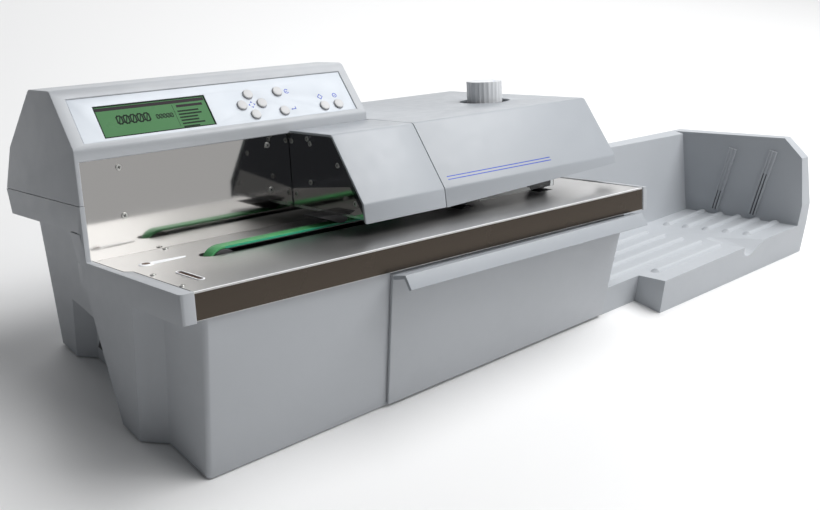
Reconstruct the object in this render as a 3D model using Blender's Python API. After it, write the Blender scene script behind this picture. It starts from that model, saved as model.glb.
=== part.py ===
"""Automatic desktop envelope opener: moulded base, sloping feed deck, control head, hinged cutter
cover, chip drawer and output tray.

Two frames are used. The machine frame is level: x runs along the feed, y towards the rear, z up,
and its zero is on the table below the deck's front left corner. The deck frame (u, v, w) is the
machine frame tilted back and to the right, with its zero on that corner. All sizes are in metres.
"""
import math

import bpy
import bmesh
from mathutils import Matrix, Vector

# ---- driving dimensions ---------------------------------------------------------------------
GAP = 0.0003              # clearance between pieces that touch
RUN = 0.0001              # radial clearance of a shaft in its hole

BACK_TILT = math.radians(13.6)
SIDE_TILT = math.radians(3.6)
CORNER_HEIGHT = 0.2135    # top of the deck's front left corner above the table

DECK_LENGTH = 0.645
DECK_DEPTH = 0.1972
SHEET = 0.0015
APRON = 0.028
WALL_HEIGHT = 0.1043      # registration wall above the deck

FLANGE = 0.0157           # how far the left flange stands out from the deck
BAND = 0.0285             # height of the flange and of the rear band
SEAM_W = 0.0599           # head and base meet at this height over the deck plane
REAR_V = 0.393            # rear edge of head and base
REAR_WALL_V = 0.364       # rear wall of the base below its band
BASE_WALL = 0.004
CHASSIS_REAR_ROOM = 0.0076   # between the chassis plate and the leaning rear wall
CORNER_RADIUS = 0.006
BASE_FRONT_Y = -0.0045
BASE_LEFT_X = 0.008
BASE_RIGHT_X = 0.603
BASE_RIGHT_LEAN = math.radians(6.5)
BASE_BOTTOM_Z = 0.002
COLUMN_X = -0.0145
POCKET_DEPTH = 0.018
POCKET_TOP_Z = 0.078

HEAD_RIGHT_U = 0.3604
HEAD_WALL = 0.003
HEAD_FRONT_V = 0.1931
HEAD_LIP_W = 0.1046
HEAD_CREASE_W = 0.1174
HEAD_TOP_FRONT_V = 0.2379
HEAD_TOP_W = 0.1761
HEAD_TOP_REAR_V = 0.2918
HEAD_BACK_V = 0.3665
HEAD_BACK_W = 0.1092

PANEL_THICK = 0.003
PANEL_LENGTH = 0.350
PANEL_START_U = -0.001
PANEL_LOW = 0.0065
PANEL_HIGH = 0.0615
LCD_LOW = 0.0100
LCD_HIGH = 0.0500
LCD_START_U = 0.0235
LCD_LENGTH = 0.1330
BUTTON_RADIUS = 0.0062
BUTTON_TRAVEL = 0.0012
BUTTON_PLACES = {
    "button_up": (0.2110, 0.0435),
    "button_left": (0.1975, 0.0300),
    "button_right": (0.2240, 0.0300),
    "button_down": (0.2100, 0.0160),
    "button_back": (0.2510, 0.0430),
    "button_enter": (0.2492, 0.0164),
    "button_start": (0.3064, 0.0164),
    "button_stop": (0.3268, 0.0164),
}

COVER_WALL = 0.003
COVER_START_U = 0.2460
COVER_SEAM_U = 0.3641
COVER_END_U = 0.6628
COVER_TOP_W = 0.1080
COVER_CREST_V = 0.1109
COVER_CREASE_V = 0.0596
COVER_CREASE_W = 0.0353
COVER_LIP_V = 0.0574
COVER_LIP_W = 0.0135
COVER_REAR_V = 0.3765
COVER_SKIRT_W = 0.0632
COVER_OPEN_DEG = 70
HINGE_V = 0.3700
HINGE_W = 0.0680
HINGE_PIN_R = 0.0020
HINGE_PLACES = (("left", COVER_SEAM_U + 0.040), ("right", COVER_END_U - 0.090))

KNOB_U = 0.5800
CUTTER_RADIUS = 0.0180
CUTTER_PROUD = 0.0006     # how far the cutter reaches past the registration wall
KNOB_RADIUS = 0.0240
KNOB_HEIGHT = 0.0270
KNOB_HOLE_RADIUS = 0.0340
SPINDLE_RADIUS = 0.0040

BELT_THICK = 0.0030
BELT_WIDTH = 0.0160
BELT_TOP_W = 0.0072
BELT_V = 0.1270
PULLEY_RADIUS = 0.0170
IDLE_PULLEY_U = 0.1040
DRIVE_PULLEY_U = 0.3350
BELT_SLOT_MARGIN = 0.0035

ROLLER_RADIUS = 0.0120
PINCH_RADIUS = 0.0100
ROLLER_PROUD = 0.0022
ROLLER_WIDTH = 0.0300
ROLLER_V = 0.1050
ROLLER_SHAFT_R = 0.0030
PINCH_ARM_TOP = 0.0330
ROLLER_PLACES = (0.4250, 0.5620)

DOOR_LEFT_X = 0.2370
DOOR_RIGHT_X = 0.6000
DOOR_THICK = 0.0040
DOOR_BOTTOM_Z = 0.0040
HANDLE_REACH = 0.0300
BIN_DEPTH = 0.1650
BIN_TOP_Z = 0.0850
BIN_WALL = 0.0020

TRAY_RIGHT_X = 1.0135
TRAY_FRONT_Y = -0.0470
TRAY_BLOCK_X = 0.6740     # the tray's front steps forward from here
TRAY_REAR_Y = 0.2000
TRAY_WALL = 0.0030
RIB_START_Y = -0.0115
RIB_PITCH = 0.0316
RIB_WIDTH = 0.0150
RIB_HEIGHT = 0.0042
CHANNEL_LEFT_X = 0.8535
CHANNEL_LENGTH = 0.0740
RAIL_WIDTH = 0.0130
TRAY_FLOOR_TILT = math.radians(12.6)
TRAY_FLOOR_FRONT_Z = 0.0480
TRAY_FLOOR_REAR_Y = 0.1460
TRAY_END_WALL = 0.0250
RIB_FADE = 0.0100         # length over which a rib sinks into the floor at its ends
END_LEAN_Z = 0.0300       # the end wall's inner face leans outwards above this height
END_LEAN = 0.0812
TRAY_END_TOP_Z = 0.1197   # top of the tray's walls at the rear right corner

FOOT_RADIUS = 0.0120
CHASSIS_Z = 0.0035
CHASSIS_THICK = 0.0015

# ---- frames ---------------------------------------------------------------------------------
TILT = Matrix.Rotation(-BACK_TILT, 4, "X") @ Matrix.Rotation(SIDE_TILT, 4, "Y")
DECK_MATRIX = Matrix.Translation((0, 0, CORNER_HEIGHT)) @ TILT
KNOB_V = DECK_DEPTH + GAP + CUTTER_RADIUS - CUTTER_PROUD
SLOPE_ANGLE = math.atan2(HEAD_TOP_W - HEAD_CREASE_W, HEAD_TOP_FRONT_V - HEAD_FRONT_V)
PULLEY_W = BELT_TOP_W - BELT_THICK - PULLEY_RADIUS


def deck_point(u, v, w):
    """Machine frame place of a deck frame point."""
    return DECK_MATRIX @ Matrix.Translation((u, v, w)).to_translation()


def clear_scene():
    for old in list(bpy.data.objects):
        bpy.data.objects.remove(old, do_unlink=True)


def empty(name, parent, matrix):
    node = bpy.data.objects.new(name, None)
    bpy.context.collection.objects.link(node)
    node.parent = parent
    node.matrix_local = matrix
    node.empty_display_size = 0.03
    return node


# ---- materials ------------------------------------------------------------------------------
def material(name, colour, roughness, metallic=0.0, alpha=1.0):
    made = bpy.data.materials.new(name)
    made.use_nodes = True
    shader = made.node_tree.nodes["Principled BSDF"]
    shader.inputs["Base Color"].default_value = (*colour, 1.0)
    shader.inputs["Roughness"].default_value = roughness
    shader.inputs["Metallic"].default_value = metallic
    shader.inputs["Alpha"].default_value = alpha
    return made


def make_materials():
    return {
        "housing": material("housing", (0.60, 0.63, 0.66), 0.45),
        "cover": material("cover", (0.62, 0.66, 0.70), 0.35),
        "tray": material("tray", (0.56, 0.59, 0.62), 0.50),
        "panel": material("panel", (0.82, 0.86, 0.92), 0.30),
        "button": material("button", (0.66, 0.68, 0.70), 0.40),
        "screen": material("screen", (0.16, 0.30, 0.16), 0.10),
        "board": material("board", (0.03, 0.20, 0.08), 0.55),
        "steel": material("steel", (0.70, 0.68, 0.65), 0.28, 1.0),
        "mirror_steel": material("mirror_steel", (0.75, 0.74, 0.73), 0.08, 1.0),
        "dark_steel": material("dark_steel", (0.25, 0.25, 0.26), 0.40, 1.0),
        "belt": material("belt", (0.10, 0.36, 0.14), 0.60),
        "black_rubber": material("black_rubber", (0.02, 0.02, 0.02), 0.70),
        "black_plastic": material("black_plastic", (0.03, 0.03, 0.03), 0.45),
        "clear": material("clear", (0.85, 0.90, 0.92), 0.05, 0.0, 0.3),
    }


# ---- shapes ---------------------------------------------------------------------------------
def place(axis, pair, depth):
    """The 3-D point of an outline pair at a depth along the extrusion axis."""
    if axis == "X":
        return (depth, pair[0], pair[1])
    if axis == "Y":
        return (pair[0], depth, pair[1])
    return (pair[0], pair[1], depth)


def extrude(name, outline, axis, start, end, mat, parent, origin=(0, 0, 0)):
    """A closed prism. The outline holds the two coordinates across the axis, in x, y, z order."""
    mesh = bpy.data.meshes.new(name)
    shape = bmesh.new()
    rings = []
    for depth in (start, end):
        ring = []
        for pair in outline:
            point = place(axis, pair, depth)
            ring.append(shape.verts.new([point[i] - origin[i] for i in range(3)]))
        rings.append(ring)
    low, high = rings
    shape.faces.new(low)
    shape.faces.new(high)
    for i in range(len(outline)):
        j = (i + 1) % len(outline)
        shape.faces.new((low[i], low[j], high[j], high[i]))
    bmesh.ops.recalc_face_normals(shape, faces=shape.faces)
    shape.to_mesh(mesh)
    shape.free()
    piece = bpy.data.objects.new(name, mesh)
    bpy.context.collection.objects.link(piece)
    piece.parent = parent
    piece.location = origin
    if mat is not None:
        mesh.materials.append(mat)
    return piece


def box(name, low, high, mat, parent, origin=(0, 0, 0)):
    outline = [(low[0], low[1]), (high[0], low[1]), (high[0], high[1]), (low[0], high[1])]
    return extrude(name, outline, "Z", low[2], high[2], mat, parent, origin)


def loft(name, sections, mat, parent):
    """A closed solid through matching sections, in order."""
    mesh = bpy.data.meshes.new(name)
    shape = bmesh.new()
    rings = [[shape.verts.new(point) for point in section] for section in sections]
    shape.faces.new(rings[0])
    shape.faces.new(rings[-1])
    for low, high in zip(rings, rings[1:]):
        for i in range(len(low)):
            j = (i + 1) % len(low)
            shape.faces.new((low[i], low[j], high[j], high[i]))
    bmesh.ops.recalc_face_normals(shape, faces=shape.faces)
    shape.to_mesh(mesh)
    shape.free()
    piece = bpy.data.objects.new(name, mesh)
    bpy.context.collection.objects.link(piece)
    piece.parent = parent
    if mat is not None:
        mesh.materials.append(mat)
    return piece


def circle(centre, radius, count):
    step = 2 * math.pi / count
    return [(centre[0] + radius * math.cos(i * step), centre[1] + radius * math.sin(i * step))
            for i in range(count)]


def cylinder(name, centre, radius, axis, start, end, mat, parent, origin=None, count=24):
    """A round bar along an axis. Its origin is on its own axis unless another is given."""
    if origin is None:
        origin = place(axis, centre, (start + end) / 2)
    piece = extrude(name, circle(centre, radius, count), axis, start, end, mat, parent, origin)
    piece.data.shade_smooth()
    piece.data.set_sharp_from_angle(angle=math.radians(40))
    return piece


def slot_outline(low, high, along_second):
    """A slot with round ends between two opposite corners."""
    radius = (high[0] - low[0]) / 2 if along_second else (high[1] - low[1]) / 2
    points = []
    for i in range(14):
        turn = math.pi * i / 6 if i < 7 else math.pi * (i - 1) / 6
        if along_second:
            middle = (low[0] + radius, high[1] - radius if i < 7 else low[1] + radius)
            points.append((middle[0] + radius * math.cos(turn), middle[1] + radius * math.sin(turn)))
        else:
            middle = (high[0] - radius if i < 7 else low[0] + radius, low[1] + radius)
            points.append((middle[0] + radius * math.sin(turn), middle[1] - radius * math.cos(turn)))
    return points


def fillet(outline, radii, steps=4):
    """The outline with its corners rounded to the radii given, one for each corner."""
    points = []
    count = len(outline)
    for i, radius in enumerate(radii):
        here = Vector(outline[i])
        if radius <= 0:
            points.append(tuple(here))
            continue
        back = (Vector(outline[i - 1]) - here).normalized()
        ahead = (Vector(outline[(i + 1) % count]) - here).normalized()
        half = back.angle(ahead) / 2
        centre = here + (back + ahead).normalized() * (radius / math.sin(half))
        first = here + back * (radius / math.tan(half)) - centre
        last = here + ahead * (radius / math.tan(half)) - centre
        sweep = first.angle_signed(last)
        for step in range(steps + 1):
            turn = -sweep * step / steps
            points.append((centre.x + first.x * math.cos(turn) - first.y * math.sin(turn),
                           centre.y + first.x * math.sin(turn) + first.y * math.cos(turn)))
    return points


def hide(tool):
    tool.hide_render = True
    tool.display_type = "WIRE"


def combine(target, tool, operation):
    step = target.modifiers.new(tool.name, "BOOLEAN")
    step.operation = operation
    step.object = tool
    hide(tool)


def cut(target, *tools):
    for tool in tools:
        combine(target, tool, "DIFFERENCE")


def add(target, *tools):
    for tool in tools:
        combine(target, tool, "UNION")


# ---- base -----------------------------------------------------------------------------------
def rear_line_v(w):
    """Rear edge of the band, which leans in towards the bottom."""
    return REAR_V - 0.29 * (SEAM_W - w)


def base_solid(name, inset, mat, machine, deck):
    """The main block of the base, shrunk by inset on every side but the bottom."""
    front_top = -SHEET - GAP - inset
    rear_top = SEAM_W - GAP - inset
    step_v = DECK_DEPTH + SHEET + 2 * GAP + inset
    outline = [(-0.20, -0.45), (REAR_WALL_V - inset, -0.45), (REAR_WALL_V - inset, rear_top),
               (step_v, rear_top), (step_v, front_top), (-0.20, front_top)]
    block = extrude(name, outline, "X", -0.10, 0.75, mat, deck)
    far = 1.2
    bottom = BASE_BOTTOM_Z if inset == 0 else -0.010
    left = BASE_LEFT_X + inset + (POCKET_DEPTH if inset else 0)
    shift = math.tan(BASE_RIGHT_LEAN)
    right = BASE_RIGHT_X - inset
    low_z = -0.5
    right_outline = [(right + shift * low_z, low_z), (far, low_z), (far, 0.6), (right + shift * 0.6, 0.6)]
    cut(block,
        box(name + "_front_cut", (-far, -far, -far), (far, BASE_FRONT_Y + inset, far), None, machine),
        box(name + "_left_cut", (-far, -far, -far), (left, far, far), None, machine),
        box(name + "_floor_cut", (-far, -far, -far), (far, far, bottom), None, machine),
        extrude(name + "_right_cut", right_outline, "Y", -far, far, None, machine))
    if inset == 0:
        cut(block, corner_round(left, BASE_FRONT_Y, machine))
    return block


def corner_round(left, front, machine):
    """What is taken off the upright front left edge to round it."""
    over = 0.002
    outline = [(left - over, front - over), (left + CORNER_RADIUS, front - over)]
    for i in range(9):
        turn = math.radians(270 - 90 * i / 8)
        outline.append((left + CORNER_RADIUS * (1 + math.cos(turn)),
                        front + CORNER_RADIUS * (1 + math.sin(turn))))
    outline.append((left - over, front + CORNER_RADIUS))
    return extrude("corner_round", outline, "Z", -0.1, 0.4, None, machine)


def column_side(machine):
    """Side profile of the left column, from the table up into the flange."""
    rear_v = DECK_DEPTH + SHEET + 2 * GAP
    shape = [(0.2242, SEAM_W - GAP - BAND), (rear_v, SEAM_W - GAP - BAND), (rear_v, -0.0030),
             (0.1150, -0.0030)]
    outline = [(0.0925, BASE_BOTTOM_Z), (0.1300, BASE_BOTTOM_Z)]
    for v, w in shape:
        point = deck_point(0, v, w)
        outline.append((point.y, point.z))
    return extrude("column_block", outline, "X", COLUMN_X, BASE_LEFT_X + 0.010, None, machine)


def base_housing(mats, machine, deck):
    base = base_solid("base_housing", 0.0, mats["housing"], machine, deck)
    inner_u = -GAP
    jog_u = -0.0071
    flange = [(-FLANGE, -0.0040), (inner_u, -0.0040), (inner_u, 0.1170), (jog_u, 0.1235),
              (jog_u, DECK_DEPTH + 0.010), (-FLANGE, DECK_DEPTH + 0.010)]
    flange = fillet(flange, [0.004, 0.0015, 0, 0, 0, 0])
    under = (-SHEET - GAP) - 0.0002
    add(base,
        extrude("flange_block", flange, "Z", -BAND, 0.0012, None, deck),
        box("flange_web", (-FLANGE + 0.001, -0.0030, -BAND + 0.001), (0.014, DECK_DEPTH + 0.020, under),
            None, deck),
        extrude("rear_band", [(DECK_DEPTH + SHEET + 2 * GAP, SEAM_W - GAP), (REAR_V, SEAM_W - GAP),
                              (rear_line_v(SEAM_W - BAND), SEAM_W - GAP - BAND),
                              (DECK_DEPTH + SHEET + 2 * GAP, SEAM_W - GAP - BAND)],
                "X", -FLANGE, 0.600, None, deck),
        box("cheek_lip", (-FLANGE, HEAD_FRONT_V, -0.010), (-0.0103, DECK_DEPTH + 0.010, SEAM_W - GAP),
            None, deck),
        column_side(machine),
        extrude("front_chamfer", [(BASE_LEFT_X + 0.002, 0.0690), (COLUMN_X, 0.0930), (COLUMN_X, 0.1200),
                                  (BASE_LEFT_X + 0.002, 0.1200)], "Z", BASE_BOTTOM_Z, 0.1700, None, machine))
    cut(base, base_solid("base_cavity", BASE_WALL, None, machine, deck))
    pocket = [(COLUMN_X - 0.01, 0.1300), (BASE_LEFT_X + POCKET_DEPTH, 0.1600),
              (BASE_LEFT_X + POCKET_DEPTH, 0.2680), (BASE_LEFT_X, 0.2860), (COLUMN_X - 0.01, 0.2860)]
    slant = [(0.1310, -0.01), (0.1310 + 0.5 * POCKET_TOP_Z, POCKET_TOP_Z), (0.400, POCKET_TOP_Z),
             (0.400, -0.01)]
    pocket_tool = extrude("pocket_plan", pocket, "Z", -0.01, POCKET_TOP_Z, None, machine)
    keep = extrude("pocket_side", slant, "X", -0.05, 0.10, None, machine)
    combine(pocket_tool, keep, "INTERSECT")
    over = 0.30
    cut(base,
        pocket_tool,
        box("apron_room", (-GAP, -over, -APRON - GAP), (over * 3, SHEET + GAP, over), None, deck),
        box("drawer_mouth", (DOOR_LEFT_X + 0.009, -0.05, 0.014), (DOOR_RIGHT_X - 0.022, 0.02, 0.1180),
            None, machine),
        box("deck_well", (0.030, 0.020, -0.030), (0.600, DECK_DEPTH - 0.010, 0.010), None, deck),
        box("shaft_room", (0.030, DECK_DEPTH - 0.012, -0.060), (0.600, 0.212, -0.014), None, deck),
        box("head_duct", (0.020, 0.215, 0.020), (0.330, 0.345, 0.080), None, deck),
        box("cutter_room", (0.400, 0.192, -0.014), (0.600, 0.345, 0.080), None, deck),
        box("inlet_window", (-0.01, 0.2150, 0.0200), (0.040, 0.2440, 0.0420), None, machine),
        box("switch_window", (-0.01, 0.2482, 0.0200), (0.040, 0.2612, 0.0420), None, machine))


def chassis(mats, machine):
    left = BASE_LEFT_X + POCKET_DEPTH + BASE_WALL + GAP
    wall_foot = deck_point(0, REAR_WALL_V - BASE_WALL, 0)
    rear = wall_foot.y - math.tan(BACK_TILT) * (wall_foot.z - CHASSIS_Z) - CHASSIS_REAR_ROOM
    box("chassis_plate", (left, BASE_FRONT_Y + BASE_WALL + GAP, CHASSIS_Z),
        (BASE_RIGHT_X - BASE_WALL - 0.004, rear, CHASSIS_Z + CHASSIS_THICK),
        mats["dark_steel"], machine)
    for side, x in (("left", left + 0.020), ("right", BASE_RIGHT_X - 0.030)):
        for end, y in (("front", 0.022), ("rear", rear - 0.022)):
            cylinder("foot_%s_%s" % (end, side), (x, y), FOOT_RADIUS, "Z", 0.0, CHASSIS_Z - GAP,
                     mats["black_rubber"], machine, count=20)
    top = CHASSIS_Z + CHASSIS_THICK + GAP
    box("power_supply", (0.050, rear - 0.107, top), (0.200, rear - 0.012, top + 0.045), mats["steel"], machine)
    wall = BASE_LEFT_X + POCKET_DEPTH
    box("power_inlet", (wall - 0.0012, 0.2153, 0.0203), (wall + 0.0120, 0.2437, 0.0417),
        mats["black_plastic"], machine)
    rocker = [(wall - 0.0030, 0.0213), (wall + 0.0020, 0.0213), (wall + 0.0060, 0.0310),
              (wall + 0.0020, 0.0407), (wall - 0.0010, 0.0407), (wall - 0.0002, 0.0310)]
    extrude("power_switch", rocker, "Y", 0.2488, 0.2606, mats["black_plastic"], machine,
            origin=(wall + 0.0020, 0.2547, 0.0310))


# ---- deck and registration wall -----------------------------------------------------------------
def deck_plate(mats, deck):
    outline = [(0, 0), (DECK_LENGTH, 0), (DECK_LENGTH, DECK_DEPTH), (-0.0068, DECK_DEPTH),
               (-0.0068, 0.1237), (0, 0.1172)]
    plate = extrude("deck_plate", outline, "Z", -SHEET, 0, mats["steel"], deck)
    add(plate, box("apron", (0, 0, -APRON), (DECK_LENGTH, SHEET, -SHEET / 2), None, deck))
    belt_low = BELT_V - BELT_WIDTH / 2 - BELT_SLOT_MARGIN
    belt_high = BELT_V + BELT_WIDTH / 2 + BELT_SLOT_MARGIN
    reach = PULLEY_RADIUS + BELT_THICK + 0.004
    cut(plate,
        extrude("belt_slot", slot_outline((IDLE_PULLEY_U - reach, belt_low),
                                          (DRIVE_PULLEY_U + reach, belt_high), False),
                "Z", -0.01, 0.01, None, deck),
        extrude("sensor_slot", slot_outline((0.0280, 0.0370), (0.0335, 0.0840), True),
                "Z", -0.01, 0.01, None, deck),
        extrude("stop_pin_hole", circle((0.0244, 0.1392), 0.0032, 16), "Z", -0.01, 0.01, None, deck))
    for i, u in enumerate(ROLLER_PLACES):
        half = ROLLER_RADIUS
        low = (u - half, ROLLER_V - ROLLER_WIDTH / 2 - 0.002)
        high = (u + half, ROLLER_V + ROLLER_WIDTH / 2 + 0.002)
        cut(plate, box("roller_slot_%d" % (i + 1), (*low, -0.01), (*high, 0.01), None, deck))
    box("deck_end_cap", (DECK_LENGTH + GAP, -0.0012, -APRON - 0.001),
        (DECK_LENGTH + 0.0072, DECK_DEPTH, 0.0010), mats["housing"], deck)
    wall_v = DECK_DEPTH + GAP
    outline = [(-0.0068, -SHEET), (DECK_LENGTH - 0.010, -SHEET), (DECK_LENGTH - 0.010, WALL_HEIGHT),
               (-0.0100, WALL_HEIGHT), (-0.0100, 0.0016), (-0.0068, 0.0016)]
    wall = extrude("registration_wall", outline, "Y", wall_v, wall_v + SHEET, mats["mirror_steel"], deck)
    half = CUTTER_RADIUS
    cut(wall, box("cutter_window", (KNOB_U - half, wall_v - 0.01, 0.0010),
                  (KNOB_U + half, wall_v + 0.01, 0.0120), None, deck))


# ---- control head -------------------------------------------------------------------------------
def head_outline(inset, bottom):
    outline = [(HEAD_FRONT_V + inset, bottom),
               (HEAD_FRONT_V + inset, HEAD_CREASE_W - inset * 0.25),
               (HEAD_TOP_FRONT_V + inset * 0.55, HEAD_TOP_W - inset),
               (HEAD_TOP_REAR_V - inset * 0.4, HEAD_TOP_W - inset),
               (HEAD_BACK_V - inset * 0.8, HEAD_BACK_W - inset * 0.3),
               (REAR_V - inset * 1.1, bottom)]
    return fillet(outline, [0, 0.006 - inset, 0.009 - inset, 0.009 - inset, 0.010 - inset, 0])


def slope_matrix():
    """Frame of the sloping face: first axis along u, second up the slope, third outwards."""
    return Matrix.Translation((0, HEAD_FRONT_V, HEAD_CREASE_W)) @ Matrix.Rotation(SLOPE_ANGLE, 4, "X")


def head(mats, deck, slope):
    head_left = -FLANGE
    shell = extrude("head_housing", head_outline(0, SEAM_W), "X", head_left, HEAD_RIGHT_U,
                    mats["housing"], deck)
    cavity = extrude("head_cavity", head_outline(HEAD_WALL, SEAM_W - 0.010), "X",
                     head_left + HEAD_WALL, HEAD_RIGHT_U - HEAD_WALL, None, deck)
    mouth = box("head_mouth", (-0.0103, HEAD_FRONT_V - 0.010, SEAM_W - 0.020),
                (HEAD_RIGHT_U + 0.010, DECK_DEPTH + SHEET + 0.002, HEAD_LIP_W), None, deck)
    recess = 0.0010
    window = box("panel_window", (PANEL_START_U, PANEL_LOW, -recess - PANEL_THICK),
                 (PANEL_START_U + PANEL_LENGTH, PANEL_HIGH, 0.010), None, slope)
    cut(shell, cavity, mouth, window)
    low = -recess - PANEL_THICK + GAP
    panel = box("keypad_panel", (PANEL_START_U + GAP, PANEL_LOW + GAP, low),
                (PANEL_START_U + PANEL_LENGTH - GAP, PANEL_HIGH - GAP, -recess), mats["panel"], slope)
    cut(panel, box("lcd_opening", (LCD_START_U, LCD_LOW, -0.02),
                   (LCD_START_U + LCD_LENGTH, LCD_HIGH, 0.02), None, slope))
    for name, (u, s) in BUTTON_PLACES.items():
        cut(panel, extrude("hole_" + name, circle((u, s), BUTTON_RADIUS + GAP, 24), "Z",
                           -0.02, 0.02, None, slope))
        cylinder(name, (u, s), BUTTON_RADIUS, "Z", low, 0.0014, mats["button"], slope,
                 origin=(u, s, -recess))
    box("lcd_module", (LCD_START_U + GAP, LCD_LOW + GAP, low - 0.004),
        (LCD_START_U + LCD_LENGTH - GAP, LCD_HIGH - GAP, -recess - 0.0008), mats["screen"], slope)
    board = box("control_board", (LCD_START_U, PANEL_LOW + 0.004, low - 0.0080),
                (PANEL_START_U + PANEL_LENGTH - 0.010, PANEL_HIGH - 0.006, low - 0.0064),
                mats["board"], slope)
    for i, u in enumerate((0.1750, 0.2800)):
        add(board, box("board_post_%d" % (i + 1), (u, 0.0270, low - 0.0070),
                       (u + 0.005, 0.0320, low - GAP), None, slope))


# ---- covers and fence ---------------------------------------------------------------------------
def cover_outline(inset, rear_v, rear_w):
    """Cross-section of the covers: lip, slope, top and rear edge."""
    outline = [(COVER_LIP_V + inset, COVER_LIP_W - (0.01 if inset else 0)),
               (COVER_CREASE_V + inset, COVER_CREASE_W - 0.3 * inset),
               (COVER_CREST_V + 0.52 * inset, COVER_TOP_W - inset),
               (rear_v, COVER_TOP_W - inset), (rear_v, rear_w)]
    return fillet(outline, [0, 0.006 - inset, 0.007 - inset, 0, 0])


def covers(mats, deck, hinge):
    feeder_rear = HEAD_FRONT_V - GAP
    skin = extrude("feeder_cover", cover_outline(0, feeder_rear, 0.0975), "X", COVER_START_U,
                   COVER_SEAM_U - GAP, mats["cover"], deck)
    cut(skin, extrude("feeder_cavity", cover_outline(COVER_WALL, feeder_rear + 0.01, -0.01), "X",
                      COVER_START_U - 0.01, COVER_SEAM_U + 0.01, None, deck))
    origin = (COVER_SEAM_U, HINGE_V, HINGE_W)
    lid = extrude("cutter_cover", cover_outline(0, COVER_REAR_V, COVER_SKIRT_W), "X",
                  COVER_SEAM_U + GAP, COVER_END_U, mats["cover"], hinge)
    lid.location = [-value for value in origin]
    inner = extrude("cutter_cavity", cover_outline(COVER_WALL, COVER_REAR_V - COVER_WALL, -0.02), "X",
                    COVER_SEAM_U - 0.01, COVER_END_U - COVER_WALL, None, deck)
    taper = [(0.35, -0.05), (0.70, -0.05), (0.70, COVER_LIP_W + 0.0125), (COVER_SEAM_U, COVER_LIP_W)]
    under = extrude("cover_taper", taper, "Y", -0.02, COVER_CREASE_V + 0.03, None, deck)
    side_room = box("cover_side_cut", (COVER_SEAM_U - 0.01, COVER_CREASE_V + 0.029, -0.05),
                    (COVER_END_U + 0.01, 0.60, COVER_SKIRT_W), None, deck)
    hole = extrude("knob_hole", circle((KNOB_U, KNOB_V), KNOB_HOLE_RADIUS, 40), "Z", 0.05, 0.15,
                   None, deck)
    cut(lid, inner, under, side_room, hole)
    for side, u in HINGE_PLACES:
        cut(lid, box("hinge_notch_" + side, (u - 0.001, HINGE_V - 0.003, 0.05),
                     (u + 0.0122, COVER_REAR_V + 0.01, HINGE_W + 0.0105), None, deck))
    fence_u = COVER_START_U + 0.0015
    inset = COVER_WALL + GAP
    fence_outline = [(HEAD_FRONT_V + 0.0035, 0.0198), (HEAD_FRONT_V + 0.0035, 0.0970),
                     (HEAD_FRONT_V - 0.0020, COVER_TOP_W - inset),
                     (COVER_CREST_V + 0.52 * inset + 0.0040, COVER_TOP_W - inset),
                     (COVER_CREST_V + 0.52 * inset - 0.0010, COVER_TOP_W - inset - 0.0030),
                     (COVER_CREASE_V + inset + 0.0022, COVER_CREASE_W - 0.3 * inset + 0.0012),
                     (COVER_CREASE_V + inset, COVER_CREASE_W - 0.3 * inset - 0.0020),
                     (COVER_LIP_V + inset + 0.0015, 0.0198)]
    extrude("fence_plate", fence_outline, "X", fence_u, fence_u + SHEET, mats["mirror_steel"], deck)
    guard = box("clear_guard", (0.4300, 0.0730, 0.0090), (0.5600, 0.0746, 0.0450), mats["clear"], hinge)
    guard.location = [-value for value in origin]


def cover_hinges(mats, deck, hinge):
    """Two fixed blocks on the base with pins, and a knuckle for each on the cover."""
    for side, u in HINGE_PLACES:
        low = SEAM_W + GAP
        outline = [(HINGE_V - 0.0060, low), (HINGE_V + 0.0030, low), (HINGE_V + 0.0030, HINGE_W + 0.0030),
                   (HINGE_V - 0.0060, HINGE_W + 0.0030)]
        block = extrude("hinge_block_" + side, outline, "X", u, u + 0.012, mats["dark_steel"], deck)
        add(block, cylinder("pin_tool_" + side, (HINGE_V, HINGE_W), HINGE_PIN_R, "X", u + 0.010,
                            u + 0.0255, None, deck, origin=(0, 0, 0), count=16))
        knuckle = box("hinge_knuckle_" + side, (u + 0.0124, HINGE_V - 0.0050, HINGE_W - 0.0042),
                      (u + 0.0240, COVER_REAR_V - COVER_WALL - GAP, HINGE_W + 0.0070),
                      mats["dark_steel"], hinge)
        knuckle.location = (-COVER_SEAM_U, -HINGE_V, -HINGE_W)
        cut(knuckle, cylinder("pin_bore_" + side, (HINGE_V, HINGE_W), HINGE_PIN_R + RUN, "X", u,
                              u + 0.05, None, deck, origin=(0, 0, 0), count=16))


# ---- feed and cutting mechanism ---------------------------------------------------------------------
def belt_loop(radius):
    points = []
    for i in range(13):
        turn = math.pi / 2 - math.pi * i / 12
        points.append((DRIVE_PULLEY_U + radius * math.cos(turn), PULLEY_W + radius * math.sin(turn)))
    for i in range(13):
        turn = -math.pi / 2 - math.pi * i / 12
        points.append((IDLE_PULLEY_U + radius * math.cos(turn), PULLEY_W + radius * math.sin(turn)))
    return points


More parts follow.
